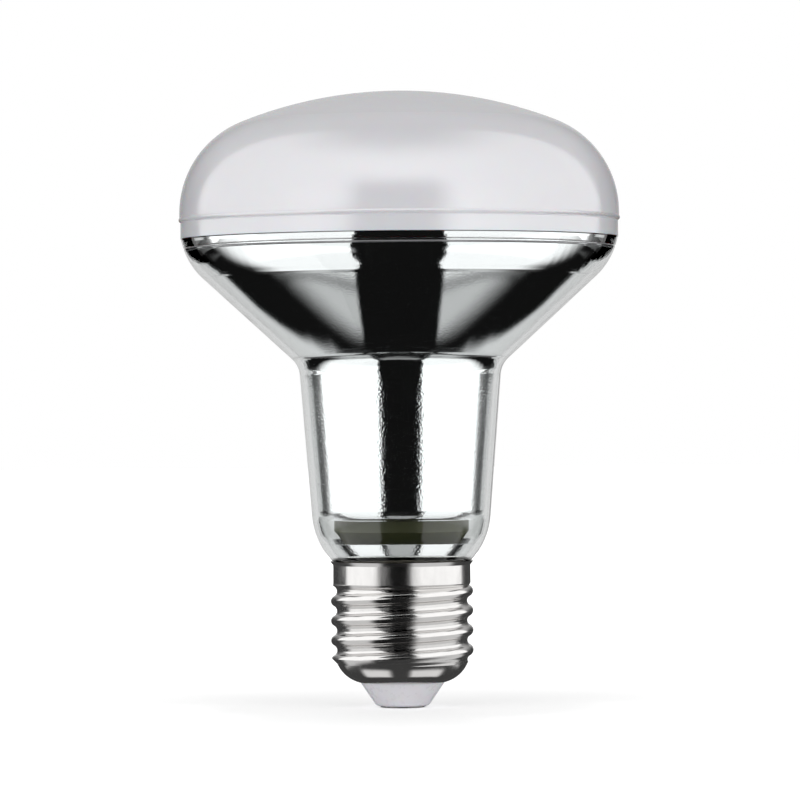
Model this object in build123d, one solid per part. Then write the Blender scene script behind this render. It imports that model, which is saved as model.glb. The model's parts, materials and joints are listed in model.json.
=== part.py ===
from build123d import *
from math import acos, asin, atan, cos, radians, sin, sqrt, tan
import os

os.makedirs("parts", exist_ok=True)

# Sizes are in millimetres and angles in degrees.
# Z runs up the axis of the lamp, from the face of the contact.

# Contact and insulator
contact_diameter = 8.2
contact_thickness = 0.5
contact_edge_rounding = 0.15
contact_projection = 0.25
contact_stem_diameter = 2.4
contact_stem_rise = 1.0
contact_clearance = 0.05
insulator_tip_diameter = 9.6
insulator_tip_rounding = 1.0
insulator_neck_diameter = 15.6
insulator_cone_height = 4.4
insulator_plug_height = 2.2

# Screw shell with the E27 rolled thread
shell_sheet = 0.3
shell_bowl_land = 0.3
shell_bowl_height = 3.4
shell_bowl_radius = 6.0
thread_major_diameter = 26.2
thread_pitch = 3.629
thread_depth = 1.1
thread_length = 14.75
thread_first_crest = 2.45
thread_run_out = 1.4
thread_root_land = 0.03
collar_diameter = 25.3
collar_height = 3.4
collar_shoulder = 0.9
lip_projection = 0.6
lip_height = 0.7
lip_gap = 0.17

# Glass body
glass_wall = 1.2
stub_diameter = 20.0
stub_depth = 5.4
shoulder_height = 8.3
shoulder_radius = 13.7
neck_foot_diameter = 32.9
neck_taper = 4.5
neck_length = 27.75
neck_fillet = 4.5
cone_angle = 47.4
rim_diameter = 80.4
rim_taper = 14.0
rim_band = 4.58
rim_bend_radius = 13.0
seam_level = 1.8
seam_width = 0.3
mirror_thickness = 0.1
mirror_foot = 0.5
window_drop = 0.6
window_height = 4.1
curl_radius = 2.0
curl_turn = 70.0
cement_height = 3.0

# Dome
dome_diameter = 80.9
dome_wall = 2.0
dome_height = 26.98
dome_corner_radius = 18.0
dome_corner_level = 4.68
skirt_diameter = 80.5
bead_level = 3.5
bead_radius = 0.45
bead_groove_radius = 0.14
bead_projection = 0.15
spigot_depth = 1.7
spigot_wall = 1.2
spigot_root = 1.5
adhesive_gap = 0.2
adhesive_height = 1.2

# Heat sink and light source
heat_sink_drop = 1.95
heat_sink_height = 21.0
heat_sink_wall = 1.0
heat_sink_plate = 1.6
heat_sink_clearance = 0.2
led_board_diameter = 29.0
led_board_thickness = 1.5
led_length = 3.5
led_width = 2.8
led_thickness = 0.7
led_outer_count = 12
led_outer_circle = 23.6
led_inner_count = 4
led_inner_circle = 12.4
led_inner_turn = 45.0
screw_count = 2
screw_circle = 15.0
screw_diameter = 2.0
screw_head_diameter = 3.4
screw_head_height = 1.3
screw_head_rounding = 0.45
screw_recess_length = 2.0
screw_recess_width = 0.5
screw_recess_depth = 0.6
screw_length = 3.8
screw_clearance = 0.1
terminal_length = 5.0
terminal_width = 3.6
terminal_height = 2.2

# Driver
carrier_diameter = 24.8
carrier_wall = 2.8
carrier_drop = 0.3
carrier_height = 8.3
carrier_flange_height = 4.6
carrier_flange_slope = 2.2
carrier_flange_step = 1.6
carrier_deck = 1.6
carrier_clearance = 0.15
board_thickness = 1.2
board_head_width = 23.0
board_head_height = 17.0
board_tail_width = 16.0
board_foot_gap = 2.15
board_slot_clearance = 0.15
smoothing_diameter = 8.0
smoothing_length = 12.0
smoothing_rise = 0.6
smoothing_rounding = 0.5
input_length = 10.0
input_height = 8.5
input_depth = 5.0
input_rise = 1.3
core_width = 11.0
core_height = 11.0
core_depth = 5.0
core_leg = 3.2
core_yoke = 1.8
core_side = 1.3
core_rise = 1.6
winding_depth = 8.6
winding_clearance = 0.1
winding_rounding = 0.8
rectifier_length = 4.7
rectifier_height = 4.0
rectifier_depth = 1.6
rectifier_rise = 13.0
chip_length = 5.0
chip_height = 4.0
chip_depth = 1.6
chip_rise = 11.6
fuse_diameter = 3.0
fuse_length = 8.0
fuse_rise = 1.6
fuse_offset = 5.5
fuse_rounding = 0.4
lead_diameter = 0.9
lead_bend_radius = 1.0
lead_hole_diameter = 1.6
lead_overlap = 3.4
lead_run = 0.5
live_lead_overlap = 3.0
neutral_lead_offset = 5.0
neutral_lead_height = 4.0
neutral_lead_clearance = 0.1

# Levels of the cap
insulator_foot = contact_projection
shell_foot = insulator_foot + insulator_cone_height
thread_foot = shell_foot + shell_bowl_height
thread_top = thread_foot + thread_length
collar_top = thread_top + collar_height
cap_top = collar_top + lip_height
plug_top = shell_foot + insulator_plug_height
stem_top = plug_top + contact_stem_rise

# Rolled thread, made of equal arcs that run into each other
thread_flank = 2 * atan(2 * thread_depth / thread_pitch)
thread_arc_radius = thread_pitch / 4 / sin(thread_flank)
thread_crest = thread_major_diameter / 2
thread_root = thread_crest - thread_depth
collar_radius = collar_diameter / 2
lip_radius = collar_radius + lip_projection
insulator_neck = insulator_neck_diameter / 2

# Glass body: its corners before they are rounded, and the centres of the rounds
seat_lean = atan(lip_projection / lip_height)
seat_radius = collar_radius - shell_sheet - lip_gap
neck_lean = radians(neck_taper)
cone_lean = radians(cone_angle)
rim_lean = radians(rim_taper)
neck_foot = cap_top + shoulder_height
neck_foot_radius = neck_foot_diameter / 2
neck_top = neck_foot + neck_length
neck_top_radius = neck_foot_radius + neck_length * tan(neck_lean)
rim_radius = rim_diameter / 2
bend_corner_radius = rim_radius - rim_band * tan(rim_lean)
bend_corner = neck_top + (bend_corner_radius - neck_top_radius) / tan(cone_lean)
rim = bend_corner + rim_band
seat_slope = tan(seat_lean) - tan(neck_lean)
shoulder_rise = (neck_foot_radius - seat_radius - (neck_foot - collar_top) * tan(neck_lean)) / seat_slope
shoulder_corner = collar_top + shoulder_rise
shoulder_corner_radius = seat_radius + shoulder_rise * tan(seat_lean)
stub_foot = cap_top - stub_depth


def outward(lean):
    """Direction out of a wall that leans out by this angle as it rises."""
    return Vector(cos(lean), -sin(lean))


def along(lean):
    """Direction up a wall that leans out by this angle."""
    return Vector(sin(lean), cos(lean))


shoulder_reach = shoulder_radius * tan((seat_lean - neck_lean) / 2)
fillet_reach = neck_fillet * tan((cone_lean - neck_lean) / 2)
bend_reach = rim_bend_radius * tan((cone_lean - rim_lean) / 2)
shoulder_centre = Vector(shoulder_corner_radius, shoulder_corner) - along(seat_lean) * shoulder_reach
shoulder_centre -= outward(seat_lean) * shoulder_radius
fillet_centre = Vector(neck_top_radius, neck_top) - along(neck_lean) * fillet_reach
fillet_centre += outward(neck_lean) * neck_fillet
bend_centre = Vector(bend_corner_radius, bend_corner) - along(cone_lean) * bend_reach
bend_centre -= outward(cone_lean) * rim_bend_radius

# Levels and radii of the other pieces
mirror_inset = glass_wall + mirror_thickness
window_top = neck_foot - window_drop
window_foot = window_top - window_height
dome_radius = dome_diameter / 2
dome_top = rim + dome_height
board_seat = neck_top - heat_sink_drop
light_seat = board_seat + led_board_thickness
carrier_top = neck_foot - carrier_drop
board_face = board_thickness / 2
board_foot = stem_top + board_foot_gap
board_top = carrier_top + board_head_height
lead_radius = lead_diameter / 2
lead_plane = board_face + lead_radius
lead_offset = terminal_length / 2 + lead_bend_radius + lead_run


def spun(edges):
    """Solid turned about the axis from a closed outline of radius against height."""
    return revolve(Plane.XZ * make_face(edges), axis=Axis.Z)


def polygon(*points):
    return list(Polyline(*points, close=True).edges())


def polygon_side(*points):
    return list(Polyline(*points).edges())


def slab(low, high):
    """Everything between two levels."""
    return extrude(Pos(0, 0, low) * Circle(dome_diameter), high - low)


def upright(radius, low, high):
    return extrude(Pos(0, 0, low) * Circle(radius), high - low)


def round_edge(centre, radius, start, end):
    """Arc between two leans on a circle, inside its centre when the radius is negative."""
    return ThreePointArc(
        centre + outward(start) * radius,
        centre + outward((start + end) / 2) * radius,
        centre + outward(end) * radius,
    )


def glass_line(inset):
    """Section line of the glass body, this far inside its outer face, from the stub up to the rim."""
    stub_radius = stub_diameter / 2 - inset
    stub_head = collar_top + (stub_radius + inset / cos(seat_lean) - seat_radius) / tan(seat_lean)
    low = round_edge(shoulder_centre, shoulder_radius - inset, seat_lean, neck_lean)
    waist = round_edge(fillet_centre, -neck_fillet - inset, neck_lean, cone_lean)
    bend = round_edge(bend_centre, rim_bend_radius - inset, cone_lean, rim_lean)
    return [
        Line((stub_radius, stub_foot), (stub_radius, stub_head)),
        Line((stub_radius, stub_head), low @ 0),
        low,
        Line(low @ 1, waist @ 0),
        waist,
        Line(waist @ 1, bend @ 0),
        bend,
        Line(bend @ 1, (rim_radius - inset / cos(rim_lean), rim)),
    ]


def cavity(inset):
    """Room inside the glass body, this far inside its outer face."""
    edges = glass_line(inset)
    foot = edges[0] @ 0
    head = edges[-1] @ 1
    edges += polygon_side(head, (0, rim), (0, stub_foot), foot)
    return spun(edges)


def make_reflector_glass():
    seam_height = rim - seam_level
    seam_radius = rim_radius - seam_level * tan(rim_lean)
    groove = spun([Pos(seam_radius, seam_height) * Edge.make_circle(seam_width / 2)])
    return cavity(0) - cavity(glass_wall) - groove


def make_mirror_lining():
    """Film inside the glass, in two halves with the window between them, the upper one turned in at its foot."""
    film = cavity(glass_wall) - cavity(mirror_inset)
    curl_lean = neck_lean + radians(curl_turn)
    level = window_top + curl_radius * (sin(curl_lean) - sin(neck_lean))
    wall = neck_foot_radius + (level - neck_foot) * tan(neck_lean) - glass_wall / cos(neck_lean)
    start = Vector(wall, level)
    centre = start - outward(neck_lean) * curl_radius
    outer = round_edge(centre, curl_radius, neck_lean, curl_lean)
    inner = round_edge(centre, curl_radius - mirror_thickness, neck_lean, curl_lean)
    curl = spun([outer, Line(outer @ 1, inner @ 1), inner, Line(inner @ 0, outer @ 0)])
    middle = start - outward(neck_lean) * (wall / cos(neck_lean))
    far = start + outward(neck_lean) * rim_diameter
    above = spun(polygon(middle, far, (far.X, rim), (0, rim)))
    upper = (film & above) + curl
    lower = film & slab(cap_top - mirror_foot, window_foot)
    return Part() + upper.solids() + lower.solids()


def spigot_radius():
    """Radius of the dome's spigot where it leaves the rim."""
    return rim_radius - (mirror_inset + adhesive_gap) / cos(rim_lean)


def spigot_tip():
    return spigot_radius() - spigot_depth * tan(rim_lean)


def make_front_dome():
    rise = dome_height - dome_corner_level
    corner = Vector(dome_radius - dome_corner_radius, rim + dome_corner_level)
    crown_radius = (corner.X ** 2 + rise ** 2 - dome_corner_radius ** 2) / (2 * (rise - dome_corner_radius))
    crown_centre = Vector(0, dome_top - crown_radius)
    crown_lean = acos(corner.X / (crown_radius - dome_corner_radius))
    quarter_turn = radians(90)
    inner_corner = dome_corner_radius - dome_wall
    inner_radius = dome_radius - dome_wall
    bead_height = rim + bead_level
    outside = polygon_side(
        (skirt_diameter / 2, rim), (skirt_diameter / 2, bead_height), (dome_radius, bead_height),
        (dome_radius, corner.Y),
    )
    outside.append(round_edge(corner, dome_corner_radius, 0, -crown_lean))
    outside.append(round_edge(crown_centre, crown_radius, -crown_lean, -quarter_turn))
    inside = [
        Line((0, dome_top), (0, dome_top - dome_wall)),
        round_edge(crown_centre, crown_radius - dome_wall, -quarter_turn, -crown_lean),
        round_edge(corner, inner_corner, -crown_lean, 0),
    ]
    inside += polygon_side(
        (inner_radius, corner.Y), (inner_radius, rim + spigot_root),
        (spigot_radius() - spigot_wall, rim + spigot_root), (spigot_tip() - spigot_wall, rim - spigot_depth),
        (spigot_tip(), rim - spigot_depth), (spigot_radius(), rim), (skirt_diameter / 2, rim),
    )
    bead_centre = dome_radius + bead_projection - bead_radius
    bead = spun([Pos(bead_centre, bead_height) * Edge.make_circle(bead_radius)])
    groove_height = bead_height - bead_radius - bead_groove_radius / 2
    groove = spun([Pos(skirt_diameter / 2, groove_height) * Edge.make_circle(bead_groove_radius)])
    return spun(outside + inside) + bead - groove


def make_dome_adhesive():
    foot = rim - spigot_depth
    spigot = spun(polygon((0, foot), (spigot_tip(), foot), (spigot_radius(), rim), (0, rim)))
    return (cavity(mirror_inset) & slab(rim - adhesive_height, rim)) - spigot


def cap_form(inset):
    """Cap without its thread, filled, this far inside its outer face."""
    foot = Vector(insulator_neck + shell_bowl_land, shell_foot)
    head = Vector(thread_root, thread_foot)
    chord = head - foot
    middle = (foot + head) * 0.5
    inward = Vector(-chord.Y, chord.X).normalized()
    centre = middle + inward * sqrt(shell_bowl_radius ** 2 - (chord.length / 2) ** 2)
    bowl = shell_bowl_radius - inset
    root = thread_root - inset
    collar = collar_radius - inset
    lip = lip_radius - inset
    low = Vector(centre.X + sqrt(bowl ** 2 - (centre.Y - shell_foot - inset) ** 2), shell_foot + inset)
    high = Vector(root, centre.Y - sqrt(bowl ** 2 - (root - centre.X) ** 2))
    middle_lean = (asin((centre.Y - low.Y) / bowl) + asin((centre.Y - high.Y) / bowl)) / 2
    edges = [ThreePointArc(low, centre + outward(middle_lean) * bowl, high)]
    edges += polygon_side(
        high, (root, thread_top - collar_shoulder), (collar, thread_top), (collar, collar_top),
        (lip, cap_top), (0, cap_top), (0, low.Y), low,
    )
    return spun(edges)


def thread_ridge(inset):
    """Helical ridge of the rolled thread, this far inside its outer face, fading out at both ends."""
    core = thread_root - inset + thread_root_land
    crest_arc = thread_arc_radius - inset
    root_arc = thread_arc_radius + inset
    crest_centre = thread_crest - thread_arc_radius
    root_centre = thread_root + thread_arc_radius
    root_end = acos((root_centre - core) / root_arc)
    root_middle = (root_end + thread_flank) / 2
    foot = core - shell_sheet
    flank = Vector(crest_centre + crest_arc * cos(thread_flank), crest_arc * sin(thread_flank))
    middle = Vector(root_centre - root_arc * cos(root_middle), thread_pitch / 2 - root_arc * sin(root_middle))
    end = Vector(core, thread_pitch / 2 - root_arc * sin(root_end))
    below = [Vector(p.X, -p.Y) for p in (flank, middle, end)]
    edges = [
        ThreePointArc(below[0], (crest_centre + crest_arc, 0), flank),
        ThreePointArc(flank, middle, end),
        ThreePointArc(below[2], below[1], below[0]),
    ]
    edges += polygon_side(end, (foot, end.Y), (foot, below[2].Y), below[2])
    path = Helix(thread_pitch, thread_length + thread_pitch, thread_root)
    ridge = sweep(Plane.XZ * make_face(edges), path=path, is_frenet=True)
    ridge = Pos(0, 0, thread_foot + thread_first_crest - thread_pitch) * ridge
    clear = thread_crest + shell_sheet
    limit = spun(polygon(
        (0, thread_foot), (thread_root - inset, thread_foot), (clear - inset, thread_foot + thread_run_out),
        (clear - inset, thread_top - thread_run_out), (collar_radius - inset - thread_root_land, thread_top),
        (0, thread_top),
    ))
    return ridge & limit


def make_screw_shell():
    outer = cap_form(0) + thread_ridge(0)
    inner = cap_form(shell_sheet) + thread_ridge(shell_sheet)
    return outer - inner - upright(insulator_neck, 0, plug_top)


def make_cap_insulator():
    tip = insulator_tip_diameter / 2
    outline = make_face(polygon(
        (0, insulator_foot), (tip, insulator_foot), (insulator_neck, shell_foot),
        (insulator_neck, shell_foot + shell_sheet), (0, shell_foot + shell_sheet),
    ))
    corner = outline.vertices().sort_by_distance((tip, insulator_foot))[0]
    cone = revolve(Plane.XZ * fillet(corner, insulator_tip_rounding), axis=Axis.Z)
    plug = cap_form(shell_sheet) & slab(shell_foot, plug_top)
    recess = upright(contact_diameter / 2 + contact_clearance, 0, contact_thickness)
    hole = upright(contact_stem_diameter / 2 + contact_clearance, 0, plug_top)
    return cone + plug - recess - hole


def make_centre_contact():
    disc = upright(contact_diameter / 2, 0, contact_thickness)
    disc = fillet(disc.edges().group_by(Axis.Z)[0], contact_edge_rounding)
    return disc + upright(contact_stem_diameter / 2, 0, stem_top)


def make_cap_cement():
    ring = upright(collar_radius - shell_sheet, collar_top - cement_height, collar_top)
    return ring - cavity(0)


def screw_places():
    return PolarLocations(screw_circle / 2, screw_count, start_angle=90)


def lead_places():
    return [Pos(side * lead_offset, lead_plane, 0) for side in (1, -1)]


def drilled(body):
    """Cuts the screw and lead holes through the plates that carry the light source."""
    low = board_seat - heat_sink_height
    for place in screw_places():
        body -= place * upright(screw_diameter / 2 + screw_clearance, low, light_seat)
    for place in lead_places():
        body -= place * upright(lead_hole_diameter / 2, low, light_seat)
    return body


def make_heat_sink():
    inset = mirror_inset + heat_sink_clearance
    low = board_seat - heat_sink_height
    cup = cavity(inset) & slab(low, board_seat)
    cup -= cavity(inset + heat_sink_wall) & slab(low, board_seat - heat_sink_plate)
    return drilled(cup)


def make_led_board():
    return drilled(upright(led_board_diameter / 2, board_seat, light_seat))


def make_led_packages():
    one = Pos(0, 0, light_seat) * extrude(Rectangle(led_width, led_length), led_thickness)
    outer = PolarLocations(led_outer_circle / 2, led_outer_count)
    inner = PolarLocations(led_inner_circle / 2, led_inner_count, start_angle=led_inner_turn)
    return Part() + [place * one for place in list(outer) + list(inner)]


def make_board_screws():
    top = light_seat + screw_head_height
    head = upright(screw_head_diameter / 2, light_seat, top)
    head = fillet(head.edges().group_by(Axis.Z)[-1], screw_head_rounding)
    slot = Rectangle(screw_recess_length, screw_recess_width)
    cross = extrude(Pos(0, 0, top - screw_recess_depth) * (slot + Rot(0, 0, 90) * slot), screw_recess_depth)
    one = head - cross + upright(screw_diameter / 2, light_seat - screw_length, light_seat)
    return Part() + [place * one for place in screw_places()]


def make_led_terminal():
    return Pos(0, 0, light_seat) * extrude(Rectangle(terminal_length, terminal_width), terminal_height)


def make_driver_carrier():
    """Flanged sleeve that stands in the throat of the glass and carries the driver board."""
    radius = carrier_diameter / 2
    sleeve = radius - carrier_flange_step
    low = carrier_top - carrier_height
    flange = carrier_top - carrier_flange_height
    ring = spun(polygon(
        (0, low), (sleeve, low), (sleeve, flange), (radius, flange + carrier_flange_slope),
        (radius, carrier_top), (0, carrier_top),
    ))
    ring &= cavity(mirror_inset + carrier_clearance)
    ring -= upright(radius - carrier_wall, low, carrier_top - carrier_deck)
    slot = Rectangle(board_tail_width + 2 * board_slot_clearance, board_thickness + 2 * board_slot_clearance)
    return ring - extrude(Pos(0, 0, low) * slot, carrier_height)


def make_driver_board():
    head = Pos(0, 0, carrier_top) * extrude(Rectangle(board_head_width, board_thickness), board_head_height)
    tail = extrude(Rectangle(board_tail_width, board_thickness), carrier_top - board_foot)
    return head + Pos(0, 0, board_foot) * tail


def block(length, height, depth, foot, side):
    """Box against the front or back face of the driver board."""
    place = Pos(0, side * (board_face + depth / 2), foot)
    return place * extrude(Rectangle(length, depth), height)


def make_smoothing_capacitor():
    can = upright(smoothing_diameter / 2, 0, smoothing_length)
    can = fillet(can.edges().filter_by(GeomType.CIRCLE), smoothing_rounding)
    return Pos(0, board_face + smoothing_diameter / 2, board_foot + smoothing_rise) * can


def make_input_capacitor():
    return block(input_length, input_height, input_depth, carrier_top + input_rise, -1)


def core_place():
    return Pos(0, board_face + winding_depth / 2, carrier_top + core_rise + core_height / 2)


def core_window():
    return core_height - 2 * core_yoke


def make_transformer_core():
    inside = core_width - 2 * core_side
    frame = Box(core_width, core_depth, core_height) - Box(inside, core_depth, core_window())
    return core_place() * (frame + Box(core_leg, core_depth, core_height))


def make_transformer_winding():
    width = core_width - 2 * core_side - 2 * winding_clearance
    coil = Box(width, winding_depth, core_window() - 2 * winding_clearance)
    coil = fillet(coil.edges().filter_by(Axis.Z), winding_rounding)
    return core_place() * (coil - Box(core_leg, core_depth, core_height))


def make_bridge_rectifier():
    return block(rectifier_length, rectifier_height, rectifier_depth, board_foot + rectifier_rise, -1)


def make_driver_chip():
    return block(chip_length, chip_height, chip_depth, carrier_top + chip_rise, -1)


def make_fuse_resistor():
    body = upright(fuse_diameter / 2, 0, fuse_length)
    body = fillet(body.edges().filter_by(GeomType.CIRCLE), fuse_rounding)
    return Pos(-fuse_offset, -board_face - fuse_diameter / 2, board_foot + fuse_rise) * body


def make_led_lead(side):
    """Lead from the back face of the driver board up through the plates and over into the terminal."""
    rise = light_seat + terminal_height / 2
    start = Vector(lead_offset, lead_plane, board_top - lead_overlap)
    bend = Vector(lead_offset, lead_plane, rise - lead_bend_radius)
    turned = Vector(lead_offset - lead_bend_radius, lead_plane, rise)
    end = Vector(terminal_length / 2, lead_plane, rise)
    path = Wire([Line(start, bend), TangentArc(bend, turned, tangent=(0, 0, 1)), Line(turned, end)])
    lead = sweep(Plane(start) * Circle(lead_radius), path=path)
    if side < 0:
        lead = mirror(lead, about=Plane.YZ)
    return lead


def make_live_lead():
    return Pos(0, -lead_plane, 0) * upright(lead_radius, stem_top, board_foot + live_lead_overlap)


def make_neutral_lead():
    """Lead down the front face of the driver board and out to the wall of the screw shell."""
    level = thread_foot + thread_first_crest + thread_pitch / 2
    start = Vector(neutral_lead_offset, -lead_plane, level + neutral_lead_height)
    bend = Vector(neutral_lead_offset, -lead_plane, level + lead_bend_radius)
    turned = Vector(neutral_lead_offset + lead_bend_radius, -lead_plane, level)
    end = Vector(thread_crest, -lead_plane, level)
    path = Wire([Line(start, bend), TangentArc(bend, turned, tangent=(0, 0, -1)), Line(turned, end)])
    lead = sweep(Plane(start, z_dir=(0, 0, -1)) * Circle(lead_radius), path=path)
    return lead & upright(thread_root - shell_sheet - neutral_lead_clearance, 0, cap_top)


pieces = {
    "front_dome": make_front_dome(),
    "dome_adhesive": make_dome_adhesive(),
    "reflector_glass": make_reflector_glass(),
    "mirror_lining": make_mirror_lining(),
    "screw_shell": make_screw_shell(),
    "cap_cement": make_cap_cement(),
    "cap_insulator": make_cap_insulator(),
    "centre_contact": make_centre_contact(),
    "heat_sink": make_heat_sink(),
    "led_board": make_led_board(),
    "led_packages": make_led_packages(),
    "board_screws": make_board_screws(),
    "led_terminal": make_led_terminal(),
    "driver_carrier": make_driver_carrier(),
    "driver_board": make_driver_board(),
    "smoothing_capacitor": make_smoothing_capacitor(),
    "input_capacitor": make_input_capacitor(),
    "transformer_core": make_transformer_core(),
    "transformer_winding": make_transformer_winding(),
    "bridge_rectifier": make_bridge_rectifier(),
    "driver_chip": make_driver_chip(),
    "fuse_resistor": make_fuse_resistor(),
    "led_lead_positive": make_led_lead(1),
    "led_lead_negative": make_led_lead(-1),
    "live_lead": make_live_lead(),
    "neutral_lead": make_neutral_lead(),
}

for name, piece in pieces.items():
    export_step(piece, f"parts/{name}.step")
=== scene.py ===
import json
from math import degrees, pi, radians

import bpy
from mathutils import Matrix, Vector


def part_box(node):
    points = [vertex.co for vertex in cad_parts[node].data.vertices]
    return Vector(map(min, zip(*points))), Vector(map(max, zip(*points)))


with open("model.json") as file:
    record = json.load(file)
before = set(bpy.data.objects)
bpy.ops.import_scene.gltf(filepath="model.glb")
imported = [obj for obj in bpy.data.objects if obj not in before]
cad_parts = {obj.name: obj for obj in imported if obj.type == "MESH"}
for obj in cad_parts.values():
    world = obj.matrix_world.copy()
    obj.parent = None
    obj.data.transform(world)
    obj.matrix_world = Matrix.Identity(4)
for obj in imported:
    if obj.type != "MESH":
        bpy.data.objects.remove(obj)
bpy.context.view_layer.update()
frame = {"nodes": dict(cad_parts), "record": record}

MM = 0.001

# Camera, level with the middle of the picture
IMAGE_PIXELS = 800
PIXELS_PER_METRE = 5432
CAMERA_DISTANCE = 0.85
CAMERA_ACROSS = -0.0001
CAMERA_HEIGHT = 0.0565
CAMERA_ROLL = radians(0.43)
CAMERA_CLIP = 0.01
SENSOR_MM = 36

# Lamps: name, place and width in metres, and power in watts
LAMPS = (
    ("left_softbox", (-0.62, -0.62, 0.1), 0.5, 3.0),
    ("right_softbox", (0.62, -0.62, 0.1), 0.5, 3.0),
    ("top_softbox", (0, -0.15, 0.85), 0.5, 0.35),
    ("back_fill", (0, 0.85, 0.12), 0.6, 3.0),
)

# Floor, and the glow that the camera sees on it: less at the foot of the object, where its shadow lies
FLOOR_SIZE = 6
FLOOR = (0.88, 0.88, 0.88)
FLOOR_ROUGHNESS = 0.9
FLOOR_GLOW = 0.48
FLOOR_GLOW_GAIN = 0.2
FLOOR_GLOW_REACH = (0.02, 0.12)

# Levels of light, where 1 is white
AMBIENT = 0.46
SOFTBOX = 1.4
BACKDROP = 0.68
HIGH_BACKDROP = 0.6
CEILING = 0.3
DARK_BACK = 0.06
DARK_SIDE = 0.15
DARK_EDGE = 0.075
BLACK = 0.006
# Glow of the painted reflections on the table
TABLE = 1.08
TABLE_SHADE = 0.54
TABLE_RING = 0.26
BEND_RING = 0.28
FOOT_MIDDLE = 0.45
OUTER_TABLE = 0.45
METAL_TABLE = 0.75
METAL_FRONT = 0.015
BOWL_PAINTED_HIGHLIGHT = 0.9
BOWL_DARK = 0.06

# An edge is a pair of values from here on: where it begins and where it is complete

# Edges of the studio in the glass, in degrees round from the front (turn) or above the horizon (rise)
GAP_TURN = (27, 24.5)
GAP_RISE = (36, 22)
SOFTBOX_TURN = (112, 107)
DARK_EDGE_TURN = (116, 124)
BACKDROP_TURN = (131, 126.5)

# Rays that are nearly level, as from the rim, and steep ones meet the sides this many degrees further round
LEVEL_RISE = (-4, -1)
LEVEL_DELAY = 24
STEEP_RISE = (-9, -11)
STEEP_DELAY = 15

# The same in the dome and, below CAP_RISE, in the cap, where a shift turns them to one side
CAP_RISE = (1.5, -1)
DOME_SOFTBOX_TURN = (133, 126)
CAP_SOFTBOX_TURN = (117, 109.5)
CAP_SOFTBOX_SHIFT = -6.5
DOME_GAP_TURN = (33, 16)
CAP_GAP_TURN = (36, 21)
CAP_GAP_SHIFT = 13
SATIN_GAP_RISE = (40, 17)
HIGH_BACKDROP_RISE = (5, 35)
RIM_BACKDROP_RISE = (-1, 3)
RIM_BACKDROP_TURN = (158, 175)
CEILING_RISE = (50, 85)

# Glowing table top, seen only in reflections, which are painted on it; its radius in metres
TABLE_RADIUS = 0.3
TABLE_CORNERS = 96

# Lamp's painted shadow on the table as the cone shows it, in millimetres, edges as shares of its size
SHADE_CENTRE = 35
SHADE_HALF_WIDTH = 78
SHADE_HALF_DEPTH = 66
SHADE_RING_EDGE = (0.895, 0.93)
SHADE_END = (0.92, 1.01)

# Painted dark sectors at the sides and gap at the front: lines, as a slope and a start, and their softness
SECTOR_FRONT = (0.55, -26)
SECTOR_FRONT_SOFT = ((-0.3, 5), (0.12, 0))
SECTOR_BACK = ((1.6, -62.7), (2.5, -119.5), (0.6, -14))
SECTOR_BACK_LIMIT = 1.2
SECTOR_BACK_SOFT = (-6, 6)
GAP_WIDTH = ((0.335, 16.8), (0.45, 5.4))
GAP_LEAST_WIDTH = 25.5
GAP_SOFT = (1.5, -1.5)
GAP_BACK = (30, 10)

# Painted pale ring that the bend below the cone shows across the gap, with the length of the rays from
# there
RING_FRONT = (-44, -38)
RING_BACK = (-26, -30)
RING_SIDE = (24, 15)
RING_LENGTH = (70.6, 69.8)

# Walls that rays to the table come from: radius, and the share of a ray's turn made after the wall
BEND_WALL = (20, 0)
NECK_WALL = (16, 0.5)
BOWL_WALL = (12.5, 0.38)

# Rays from the neck, by height of start, turn and reach; at the front the height slopes with the reach
NECK_FRONT_LOW = (0.1, (72, 76))
NECK_FRONT_HIGH = (-0.6, (20, 15))
NECK_FRONT_TURN = (95, 90)
NECK_FRONT_REACH = (85, 110)
NECK_SIDE_LOW = (50, 62)
NECK_SIDE_HIGH = (78, 66)
NECK_SIDE_FRONT_TURN = (90, 95)
NECK_SIDE_BACK_TURN = (130, 122)
NECK_SIDE_REACH = (190, 215)

# Rays from close above the cap, and what they show, also near the foot and on the outer face of the glass
CLOSE_HEIGHT = (56, 50)
CLOSE_LENGTH = (130, 110)
CLOSE_DARK_TURN = (86, 90)
CLOSE_BACKDROP_TURN = (104, 112)
CLOSE_GAP_TURN = (29, 26)
FOOT_FRONT = (-40, -32)
FOOT_GAP_TURN = (34, 31)
FOOT_MIDDLE_TURN = (25, 22)
OUTER_TURN = (86, 78)
OUTER_GAP_TURN = (29, 25)

# Table in the metal; painted highlight: a pale band between two heights in the bowl at the foot of the cap
METAL_FRONT_TURN = (70, 50)
METAL_TABLE_TURN = (112, 95)
METAL_GAP_TURN = (25, 40)
METAL_GAP_SHIFT = 12
BOWL_BAND_LOW = (5.3, 6.0)
BOWL_BAND_HIGH = (8.1, 7.3)
BOWL_TURN = (70, 57)
BOWL_GAP_TURN = (10, 20)
BOWL_GAP_SHIFT = 3
BOWL_TOP = (9.6, 8.8)
BOWL_REACH = (40, 30)

# Painted dark reflections: black sheets below that only reflections show
# Black cards beside the rim: front and back foot of the right one, and the height of their heads
CARD_FRONT = (0.055, 0.009, 0.066)
CARD_BACK = (0.058, 0.064, 0.078)
CARD_HEAD = 0.088

# Black canopy in front of the neck, a painted dark reflection that the upper flanks of the thread show
DARK_REFLECTION_CANOPY = ((-0.013, -0.021), (0.0076, -0.0237), (0.038, -0.092), (-0.064, -0.076))
DARK_REFLECTION_CANOPY_HEIGHT = 0.05

# Colours, as linear red, green and blue
WHITE = (1, 1, 1)
CARD = (0, 0, 0)
DOME = (0.785, 0.78, 0.815)
GLASS = (0.97, 0.99, 0.985)
SEAM = (0.20, 0.20, 0.21)
MIRROR = (0.93, 0.93, 0.94)
NICKEL = (0.70, 0.69, 0.68)
INSULATOR = (0.92, 0.91, 0.96)
TIN = (0.62, 0.61, 0.60)

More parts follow.
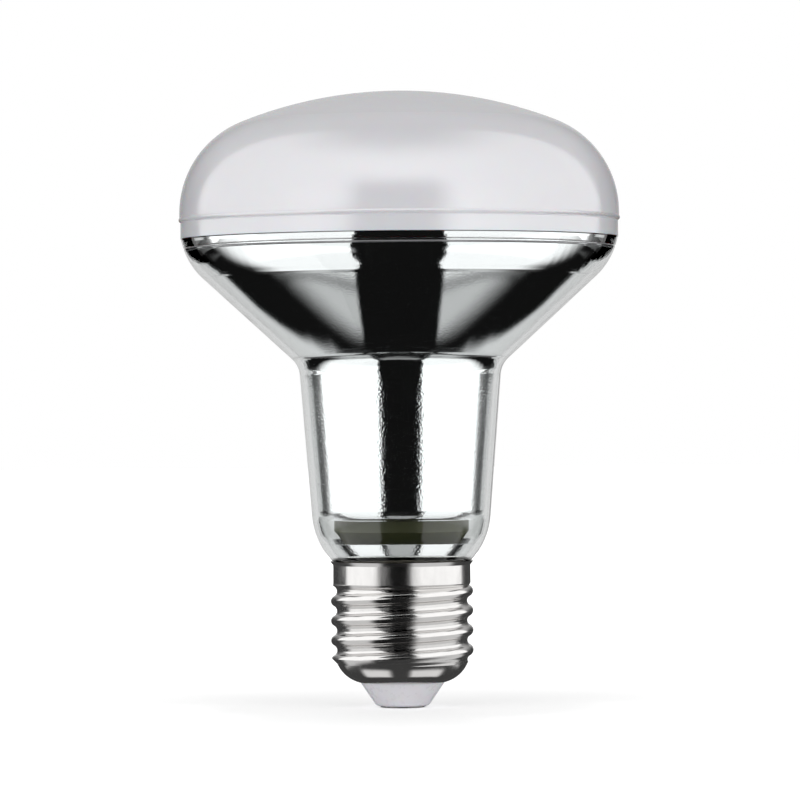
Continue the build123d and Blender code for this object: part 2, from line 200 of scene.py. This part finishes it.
# Mirror: its clearance from the glass, and the grain of the neck, which fades toward the cone
MIRROR_GAP = 0.04 * MM
NECK_TOP = 64 * MM
GRAIN_FADE = 8 * MM
CONE_GRAIN = 0.15

# Fine line round the rim of the glass, below its top
SEAM_LEVEL = 1.8 * MM
SEAM_WIDTH = 0.22 * MM

# Pieces inside the lamp: colour, roughness, grain in millimetres and whether it is metal
PLAIN_FINISHES = {
    "olive_plastic": ((0.085, 0.09, 0.036), 0.45, 0.6, 0.0),
    "adhesive": ((0.72, 0.72, 0.70), 0.5, 0.8, 0.0),
    "cement": ((0.42, 0.36, 0.29), 0.9, 0.3, 0.0),
    "aluminium": ((0.75, 0.75, 0.76), 0.3, 0.5, 1.0),
    "white_board": ((0.82, 0.82, 0.80), 0.4, 0.5, 0.0),
    "phosphor": ((0.85, 0.62, 0.10), 0.35, 0.2, 0.0),
    "steel": ((0.60, 0.60, 0.61), 0.3, 0.3, 1.0),
    "white_plastic": ((0.80, 0.80, 0.77), 0.4, 0.5, 0.0),
    "green_board": ((0.02, 0.12, 0.04), 0.35, 0.5, 0.0),
    "black_sleeve": ((0.012, 0.012, 0.014), 0.35, 0.5, 0.0),
    "yellow_case": ((0.65, 0.38, 0.02), 0.35, 0.5, 0.0),
    "ferrite": ((0.03, 0.03, 0.032), 0.6, 0.3, 0.0),
    "winding_tape": ((0.62, 0.35, 0.03), 0.4, 0.6, 0.0),
    "black_resin": ((0.01, 0.01, 0.01), 0.5, 0.25, 0.0),
    "resistor_body": ((0.45, 0.35, 0.17), 0.45, 0.4, 0.0),
    "red_lead": ((0.40, 0.01, 0.008), 0.4, 0.4, 0.0),
    "black_lead": ((0.008, 0.008, 0.008), 0.4, 0.4, 0.0),
    "brown_lead": ((0.09, 0.03, 0.01), 0.4, 0.4, 0.0),
    "blue_lead": ((0.01, 0.03, 0.25), 0.4, 0.4, 0.0),
}

# Their spread of colour, its clouds in grains, their spread of roughness and their relief by the grain
PLAIN_SPREAD = 0.08
PLAIN_CLOUD = 4
PLAIN_ROUGH_SPREAD = 0.15
PLAIN_RELIEF = 0.02

# Middle of a pattern, over which roughness changes
ROUGH_EDGE = (0.3, 0.7)


class Number:
    """Output of a shader node, so that node maths reads as plain sums."""

    def __init__(self, tree, socket):
        self.tree = tree
        self.socket = socket

    def maths(self, operation, *others):
        node = self.tree.nodes.new("ShaderNodeMath")
        node.operation = operation
        for entry, value in zip(node.inputs, (self, *others)):
            feed(self.tree, entry, value)
        return Number(self.tree, node.outputs[0])

    def __add__(self, other):
        return self.maths("ADD", other)

    def __sub__(self, other):
        return self.maths("SUBTRACT", other)

    def __mul__(self, other):
        return self.maths("MULTIPLY", other)

    def __neg__(self):
        return self.maths("MULTIPLY", -1)

    def __abs__(self):
        return self.maths("ABSOLUTE")

    def or_more(self, other):
        """The larger of the two."""
        return self.maths("MAXIMUM", other)

    def or_less(self, other):
        """The smaller of the two."""
        return self.maths("MINIMUM", other)

    def line(self, slope, start):
        return self * slope + start

    def step(self, low, high):
        """Rises smoothly from 0 at low to 1 at high, or falls where low is the larger."""
        node = self.tree.nodes.new("ShaderNodeMapRange")
        node.interpolation_type = "SMOOTHSTEP"
        for name, value in (("Value", self), ("From Min", low), ("From Max", high)):
            feed(self.tree, node.inputs[name], value)
        return Number(self.tree, node.outputs["Result"])

    def between(self, first, second):
        """Edge that passes from the first to the second as this value goes from 0 to 1."""
        return [self.line(end - start, start) for start, end in zip(first, second)]

    def under(self, cover, mask):
        """This value with another laid over it where the mask is 1."""
        node = self.tree.nodes.new("ShaderNodeMix")
        for entry, value in zip(node.inputs, (mask, None, self, cover)):
            if value is not None:
                feed(self.tree, entry, value)
        return Number(self.tree, node.outputs[0])


def constant(tree, value):
    node = tree.nodes.new("ShaderNodeValue")
    node.outputs[0].default_value = value
    return Number(tree, node.outputs[0])


def feed(tree, entry, value):
    if isinstance(value, Number):
        tree.links.new(value.socket, entry)
    else:
        entry.default_value = value


def axes(tree, kind):
    """The three parts of this kind of texture coordinate."""
    coordinate = tree.nodes.new("ShaderNodeTexCoord")
    parts = tree.nodes.new("ShaderNodeSeparateXYZ")
    tree.links.new(coordinate.outputs[kind], parts.inputs[0])
    return [Number(tree, socket) for socket in parts.outputs]


def light_path(tree, *names):
    """These outputs of the light path."""
    path = tree.nodes.new("ShaderNodeLightPath")
    return [Number(tree, path.outputs[name]) for name in names]


def room_sides(tree, turn):
    """Softboxes at the front, then sides that grow darker, then a pale backdrop."""
    dark = constant(tree, DARK_SIDE).under(DARK_EDGE, turn.step(*DARK_EDGE_TURN))
    sides = constant(tree, BACKDROP).under(dark, turn.step(*BACKDROP_TURN))
    return sides.under(SOFTBOX, turn.step(*SOFTBOX_TURN))


def room_in_glass(tree, heading, rise):
    """The studio as glass and mirror show it: its sides, and a gap between the softboxes at the front."""
    turn = abs(heading)
    delay = rise.step(*LEVEL_RISE) * LEVEL_DELAY + rise.step(*STEEP_RISE) * STEEP_DELAY
    return room_sides(tree, turn - delay).under(BLACK, turn.step(*GAP_TURN) * rise.step(*GAP_RISE))


def room_in_satin(tree, heading, rise):
    """The studio as the dome and the metal show it: the same softboxes, with the back dark low down."""
    cap = rise.step(*CAP_RISE)
    rim_backdrop = rise.step(*RIM_BACKDROP_RISE) * abs(heading).step(*RIM_BACKDROP_TURN)
    pale_back = rise.step(*HIGH_BACKDROP_RISE).or_more(rim_backdrop)
    softbox_edge = cap.between(DOME_SOFTBOX_TURN, CAP_SOFTBOX_TURN)
    gap_edge = cap.between(DOME_GAP_TURN, CAP_GAP_TURN)
    softbox = abs(heading + cap * CAP_SOFTBOX_SHIFT).step(*softbox_edge)
    gap = abs(heading + cap * CAP_GAP_SHIFT).step(*gap_edge) * rise.step(*SATIN_GAP_RISE)
    satin = constant(tree, DARK_BACK).under(HIGH_BACKDROP, pale_back).under(SOFTBOX, softbox)
    return satin.under(CEILING, rise.step(*CEILING_RISE)).under(BLACK, gap)


def make_world():
    """Studio seen by the metal and the glass, plain white behind the object and soft light on the rest."""
    world = bpy.data.worlds.new("studio")
    bpy.context.scene.world = world
    world.use_nodes = True
    world.cycles.sampling_method = "NONE"
    tree = world.node_tree
    tree.nodes.clear()
    x, y, z = axes(tree, "Generated")
    camera, glossy, transmission, singular = light_path(
        tree, "Is Camera Ray", "Is Glossy Ray", "Is Transmission Ray", "Is Singular Ray"
    )
    heading = x.maths("ARCTAN2", -y) * degrees(1)
    rise = z.maths("ARCSINE") * degrees(1)
    level = room_in_satin(tree, heading, rise)
    level = level.under(room_in_glass(tree, heading, rise), transmission.or_more(singular))
    light = camera.line(1 - AMBIENT, AMBIENT).under(level, glossy.or_more(transmission))
    background = tree.nodes.new("ShaderNodeBackground")
    background.inputs["Color"].default_value = (*WHITE, 1)
    feed(tree, background.inputs["Strength"], light)
    output = tree.nodes.new("ShaderNodeOutputWorld")
    tree.links.new(background.outputs[0], output.inputs["Surface"])


def make_lamp(name, place, size, power):
    light = bpy.data.lights.new(name, "AREA")
    light.size = size
    light.energy = power
    lamp = bpy.data.objects.new(name, light)
    lamp.location = place
    aim = Vector((0, 0, CAMERA_HEIGHT)) - lamp.location
    lamp.rotation_euler = aim.to_track_quat("-Z", "Y").to_euler()
    lamp.visible_camera = False
    lamp.visible_glossy = False
    lamp.visible_transmission = False
    bpy.context.scene.collection.objects.link(lamp)


def make_camera():
    camera = bpy.data.objects.new("camera", bpy.data.cameras.new("camera"))
    camera.data.sensor_width = SENSOR_MM
    camera.data.lens = SENSOR_MM * PIXELS_PER_METRE * CAMERA_DISTANCE / IMAGE_PIXELS
    camera.location = (CAMERA_ACROSS, -CAMERA_DISTANCE, CAMERA_HEIGHT)
    camera.rotation_euler = (pi / 2, CAMERA_ROLL, 0)
    camera.data.clip_start = CAMERA_CLIP
    bpy.context.scene.collection.objects.link(camera)
    bpy.context.scene.camera = camera


def make_floor():
    """White floor that keeps the object's shadow."""
    bpy.ops.mesh.primitive_plane_add(size=FLOOR_SIZE)
    floor = bpy.context.object
    floor.name = "floor"
    floor.visible_glossy = False
    floor.visible_transmission = False
    material, tree, shader = finish("floor", FLOOR, FLOOR_ROUGHNESS)
    x, y, _ = axes(tree, "Object")
    camera = light_path(tree, "Is Camera Ray")[0]
    reach = (x * x + y * y).maths("SQRT")
    glow = camera * reach.step(*FLOOR_GLOW_REACH).line(FLOOR_GLOW_GAIN, FLOOR_GLOW)
    shader.inputs["Emission Color"].default_value = (*WHITE, 1)
    feed(tree, shader.inputs["Emission Strength"], glow)
    floor.data.materials.append(material)


class TableRay:
    """Where a mirrored ray meets the table, in millimetres and degrees, and how far it has come."""

    def __init__(self, tree):
        self.tree = tree
        self.x, self.y = (part * (1 / MM) for part in axes(tree, "Object")[:2])
        self.transmission, self.singular, length = light_path(
            tree, "Is Transmission Ray", "Is Singular Ray", "Ray Length"
        )
        self.length = length * (1 / MM)
        self.side = abs(self.x)
        self.reach = (self.x * self.x + self.y * self.y).maths("SQRT")
        self.heading = self.x.maths("ARCTAN2", -self.y) * degrees(1)
        self.turn = abs(self.heading)

    def start_height(self, radius, share):
        """Height that the ray comes from on a wall, with this share of its turn made after the wall."""
        facing = (self.turn * radians(share)).maths("COSINE")
        across = self.reach * self.reach - self.reach * facing * (2 * radius) + radius**2
        return (self.length * self.length - across).maths("SQRT")


def table_from_cone(ray):
    """Painted reflection for the cone: lamp's shadow with a darker edge, dark sectors, the gap and the
    bend's ring.
    """
    across = ray.x * (1 / SHADE_HALF_WIDTH)
    along = (ray.y - SHADE_CENTRE) * (1 / SHADE_HALF_DEPTH)
    shade = (across * across + along * along).maths("SQRT")
    front_edge = ray.side.line(*SECTOR_FRONT)
    front_soft = [ray.side.line(*edge) for edge in SECTOR_FRONT_SOFT]
    steep, steeper, shallow = (ray.side.line(*edge) for edge in SECTOR_BACK)
    back_edge = steep.or_more(steeper).or_more(shallow).or_less(ray.side * SECTOR_BACK_LIMIT)
    wide, narrow = ((-ray.y).line(*edge) for edge in GAP_WIDTH)
    gap = wide.or_less(narrow).or_more(GAP_LEAST_WIDTH)
    ring = ray.y.step(*RING_FRONT) * ray.y.step(*RING_BACK)
    ring = ring * ray.length.step(*RING_LENGTH) * ray.side.step(*RING_SIDE)
    # Lamp's painted shadow on the table, darker at its edge, then the lit table
    cone = constant(ray.tree, TABLE_SHADE).under(TABLE_RING, shade.step(*SHADE_RING_EDGE))
    cone = cone.under(TABLE, shade.step(*SHADE_END))
    cone = cone.under(BLACK, (ray.y - front_edge).step(*front_soft))
    cone = cone.under(BACKDROP, (ray.y - back_edge).step(*SECTOR_BACK_SOFT))
    cone = cone.under(BLACK, (ray.side - gap).step(*GAP_SOFT) * ray.y.step(*GAP_BACK))
    return cone.under(BEND_RING, ring)


def table_from_neck(ray):
    """Painted reflection for the neck, going on from the sides of the room, and a mask of the rays from it.
    """
    neck = room_sides(ray.tree, ray.turn).under(BLACK, ray.turn.step(*GAP_TURN))
    height = ray.start_height(*BEND_WALL)
    front = ray.turn.step(*NECK_FRONT_TURN) * ray.reach.step(*NECK_FRONT_REACH)
    for slope, edge in (NECK_FRONT_LOW, NECK_FRONT_HIGH):
        front = front * (height + ray.reach * slope).step(*edge)
    height = ray.start_height(*NECK_WALL)
    side = ray.turn.step(*NECK_SIDE_FRONT_TURN) * ray.turn.step(*NECK_SIDE_BACK_TURN)
    side = side * ray.reach.step(*NECK_SIDE_REACH)
    side = side * height.step(*NECK_SIDE_LOW) * height.step(*NECK_SIDE_HIGH)
    return neck, front.or_more(side)


def table_from_close(ray):
    """Painted reflection for the glass close above the cap, and a mask of the rays from it."""
    outer = ray.singular - ray.transmission
    foot = ray.y.step(*FOOT_FRONT)
    gap_edge = foot.between(CLOSE_GAP_TURN, FOOT_GAP_TURN)
    close = constant(ray.tree, TABLE).under(BLACK, ray.turn.step(*CLOSE_DARK_TURN))
    close = close.under(BACKDROP, ray.turn.step(*CLOSE_BACKDROP_TURN))
    close = close.under(BLACK, ray.turn.step(*gap_edge))
    close = close.under(FOOT_MIDDLE, foot * ray.turn.step(*FOOT_MIDDLE_TURN))
    close = close.under(OUTER_TABLE, outer * ray.turn.step(*OUTER_TURN))
    close = close.under(BLACK, outer * ray.turn.step(*OUTER_GAP_TURN))
    height = ray.start_height(*BEND_WALL)
    return close, height.step(*CLOSE_HEIGHT) * ray.length.step(*CLOSE_LENGTH)


def table_in_metal(ray):
    """Painted reflection for the cap: pale at the sides of the gap, and a painted highlight band in its
    bowl.
    """
    pale = ray.turn.step(*METAL_TABLE_TURN) * abs(ray.heading + METAL_GAP_SHIFT).step(*METAL_GAP_TURN)
    metal = constant(ray.tree, DARK_BACK).under(METAL_FRONT, ray.turn.step(*METAL_FRONT_TURN))
    metal = metal.under(METAL_TABLE, pale)
    height = ray.start_height(*BOWL_WALL)
    # Painted highlight in the bowl, by the height that the ray comes from
    painted_highlight_band = height.step(*BOWL_BAND_LOW) * height.step(*BOWL_BAND_HIGH) * ray.turn.step(*BOWL_TURN)
    painted_highlight_band = painted_highlight_band * abs(ray.heading + BOWL_GAP_SHIFT).step(*BOWL_GAP_TURN)
    bowl = constant(ray.tree, BOWL_DARK).under(BOWL_PAINTED_HIGHLIGHT, painted_highlight_band)
    return metal.under(bowl, height.step(*BOWL_TOP) * ray.reach.step(*BOWL_REACH))


def make_painted_reflection_table():
    """Glowing white table top with painted reflections: dark sectors and shade the studio leaves, as mirror
    and metal show.
    """
    bpy.ops.mesh.primitive_circle_add(vertices=TABLE_CORNERS, radius=TABLE_RADIUS, fill_type="NGON")
    table = bpy.context.object
    table.name = "table"
    material = bpy.data.materials.new("table")
    material.use_nodes = True
    tree = material.node_tree
    tree.nodes.clear()
    ray = TableRay(tree)
    glass = table_from_cone(ray).under(*table_from_neck(ray)).under(*table_from_close(ray))
    level = table_in_metal(ray).under(glass, ray.transmission.or_more(ray.singular))
    # The table glows, though it is no lamp, to paint the reflections
    glow = tree.nodes.new("ShaderNodeEmission")
    feed(tree, glow.inputs["Strength"], level)
    output = tree.nodes.new("ShaderNodeOutputMaterial")
    tree.links.new(glow.outputs[0], output.inputs["Surface"])
    table.data.materials.append(material)
    show_in_reflections_only(table)


def make_dark_reflection_sheet(name, corners, in_glass=True):
    """Black sheet with four corners, a painted dark reflection; what lies behind glass shows it only where
    in_glass is true.
    """
    mesh = bpy.data.meshes.new(name)
    mesh.from_pydata(corners, [], [(0, 1, 2, 3)])
    sheet = bpy.data.objects.new(name, mesh)
    bpy.context.scene.collection.objects.link(sheet)
    material, *_ = finish("card", CARD, roughness=1.0, specular_ior_level=0.0)
    mesh.materials.append(material)
    sheet.visible_transmission = in_glass
    show_in_reflections_only(sheet)


def make_dark_reflection_card(side):
    """Card on the left where side is -1, or on the right where it is 1."""
    foot = [(side * x, y, z) for x, y, z in (CARD_FRONT, CARD_BACK)]
    head = [(x, y, CARD_HEAD) for x, y, _ in reversed(foot)]
    make_dark_reflection_sheet("card", foot + head)


def show_in_reflections_only(thing):
    thing.visible_camera = False
    thing.visible_diffuse = False
    thing.visible_shadow = False


def finish(name, colour, roughness, **sockets):
    """Material of one surface with its even values; what varies is linked afterwards."""
    material = bpy.data.materials.get(name) or bpy.data.materials.new(name)
    material.use_nodes = True
    tree = material.node_tree
    tree.nodes.clear()
    shader = tree.nodes.new("ShaderNodeBsdfPrincipled")
    output = tree.nodes.new("ShaderNodeOutputMaterial")
    tree.links.new(shader.outputs[0], output.inputs["Surface"])
    shader.inputs["Base Color"].default_value = (*colour, 1)
    shader.inputs["Roughness"].default_value = roughness
    for key, value in sockets.items():
        shader.inputs[key.replace("_", " ").title().replace("Ior", "IOR")].default_value = value
    return material, tree, shader


def noise(tree, size, detail=3, stretch=(1, 1, 1)):
    """Cloudy pattern with features of this size in metres, drawn out along axes of small stretch."""
    coordinate = tree.nodes.new("ShaderNodeTexCoord")
    mapping = tree.nodes.new("ShaderNodeMapping")
    mapping.inputs["Scale"].default_value = stretch
    texture = tree.nodes.new("ShaderNodeTexNoise")
    texture.inputs["Scale"].default_value = 1 / size
    texture.inputs["Detail"].default_value = detail
    tree.links.new(coordinate.outputs["Object"], mapping.inputs["Vector"])
    tree.links.new(mapping.outputs[0], texture.inputs["Vector"])
    return Number(tree, texture.outputs[0])


def blend(tree, shader, first, second, pattern):
    """Colour that passes from the first to the second with the pattern."""
    node = tree.nodes.new("ShaderNodeMix")
    node.data_type = "RGBA"
    node.inputs["A"].default_value = (*first, 1)
    node.inputs["B"].default_value = (*second, 1)
    feed(tree, node.inputs["Factor"], pattern)
    tree.links.new(node.outputs["Result"], shader.inputs["Base Color"])


def tint(tree, shader, colour, spread, pattern):
    """Colour that goes this much darker and lighter with the pattern."""
    dark = [part * (1 - spread) for part in colour]
    pale = [min(1, part * (1 + spread)) for part in colour]
    blend(tree, shader, dark, pale, pattern)


def rough(tree, shader, low, high, pattern):
    """Roughness that goes from low to high over the middle of the pattern."""
    feed(tree, shader.inputs["Roughness"], pattern.step(*ROUGH_EDGE).line(high - low, low))


def bump(tree, shader, height, pattern):
    """Relief of this height in metres."""
    node = tree.nodes.new("ShaderNodeBump")
    node.inputs["Distance"].default_value = height
    feed(tree, node.inputs["Height"], pattern)
    tree.links.new(node.outputs[0], shader.inputs["Normal"])


def frosted_dome():
    material, tree, shader = finish(
        "frosted_dome", DOME, roughness=0.14, ior=1.75, specular_ior_level=1.0,
        subsurface_weight=0.25, subsurface_scale=2 * MM,
    )
    tint(tree, shader, DOME, spread=0.02, pattern=noise(tree, 9 * MM))
    rough(tree, shader, low=0.12, high=0.17, pattern=noise(tree, 4 * MM))
    bump(tree, shader, height=0.004 * MM, pattern=noise(tree, 0.35 * MM))
    return material


def clear_glass():
    material, tree, shader = finish("clear_glass", GLASS, roughness=0.0, transmission_weight=1.0, ior=1.5)
    bump(tree, shader, height=0.004 * MM, pattern=noise(tree, 7 * MM, detail=1))
    seam_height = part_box("reflector_glass")[1].z - SEAM_LEVEL
    height = axes(tree, "Object")[2]
    seam = abs(height - seam_height).step(SEAM_WIDTH / 2, SEAM_WIDTH / 4)
    blend(tree, shader, GLASS, SEAM, seam)
    feed(tree, shader.inputs["Transmission Weight"], -seam + 1)
    return material


def mirror():
    material, tree, shader = finish("mirror", MIRROR, roughness=0.03, metallic=1.0)
    tint(tree, shader, MIRROR, spread=0.02, pattern=noise(tree, 5 * MM))
    rough(tree, shader, low=0.01, high=0.03, pattern=noise(tree, 2 * MM))
    height = axes(tree, "Object")[2]
    strength = height.step(NECK_TOP, NECK_TOP - GRAIN_FADE).line(1 - CONE_GRAIN, CONE_GRAIN)
    bump(tree, shader, height=0.03 * MM, pattern=noise(tree, 0.4 * MM, detail=2) * strength)
    return material


def nickel():
    material, tree, shader = finish("nickel", NICKEL, roughness=0.17, metallic=1.0)
    tint(tree, shader, NICKEL, spread=0.05, pattern=noise(tree, 3 * MM))
    rough(tree, shader, low=0.14, high=0.19, pattern=noise(tree, 0.8 * MM, stretch=(1, 1, 0.15)))
    bump(tree, shader, height=0.0015 * MM, pattern=noise(tree, 0.3 * MM, detail=2, stretch=(1, 1, 0.08)))
    return material


def insulator():
    material, tree, shader = finish(
        "insulator", INSULATOR, roughness=0.3, subsurface_weight=0.15, subsurface_scale=1 * MM
    )
    tint(tree, shader, INSULATOR, spread=0.015, pattern=noise(tree, 4 * MM))
    rough(tree, shader, low=0.25, high=0.38, pattern=noise(tree, 1 * MM))
    bump(tree, shader, height=0.002 * MM, pattern=noise(tree, 0.4 * MM))
    return material


def tin():
    material, tree, shader = finish("contact", TIN, roughness=0.3, metallic=1.0)
    tint(tree, shader, TIN, spread=0.1, pattern=noise(tree, 1.2 * MM))
    rough(tree, shader, low=0.25, high=0.45, pattern=noise(tree, 0.6 * MM))
    bump(tree, shader, height=0.01 * MM, pattern=noise(tree, 1 * MM))
    return material


def plain(slot, colour, roughness, grain, metallic):
    """Finish of a piece inside: mottled a little, with a fine grain of this size in millimetres."""
    material, tree, shader = finish(slot, colour, roughness, metallic=metallic)
    pattern = noise(tree, grain * MM)
    smoothest = roughness * (1 - PLAIN_ROUGH_SPREAD)
    roughest = min(1, roughness * (1 + PLAIN_ROUGH_SPREAD))
    tint(tree, shader, colour, PLAIN_SPREAD, noise(tree, PLAIN_CLOUD * grain * MM))
    rough(tree, shader, smoothest, roughest, pattern)
    bump(tree, shader, PLAIN_RELIEF * grain * MM, pattern)
    return material


finishes = {
    "frosted_dome": frosted_dome(),
    "clear_glass": clear_glass(),
    "mirror": mirror(),
    "nickel": nickel(),
    "insulator": insulator(),
    "contact": tin(),
}
for slot, row in PLAIN_FINISHES.items():
    finishes[slot] = plain(slot, *row)

for row in frame["record"]["subparts"]:
    frame["nodes"][row["node"]].material_slots[0].material = finishes[row["material_slot"]]

# The lining lies just clear of the glass, so that light passes from one to the other
gap = frame["nodes"]["mirror_lining"].modifiers.new("gap", "DISPLACE")
gap.mid_level = 0
gap.strength = -MIRROR_GAP

make_world()
make_camera()
make_floor()
make_painted_reflection_table()
# Black sheets that paint dark reflections
make_dark_reflection_card(-1)
make_dark_reflection_card(1)
make_dark_reflection_sheet("dark_reflection_canopy", [(x, y, DARK_REFLECTION_CANOPY_HEIGHT) for x, y in DARK_REFLECTION_CANOPY], in_glass=False)
for lamp in LAMPS:
    make_lamp(*lamp)

bpy.context.scene.view_settings.view_transform = "Standard"
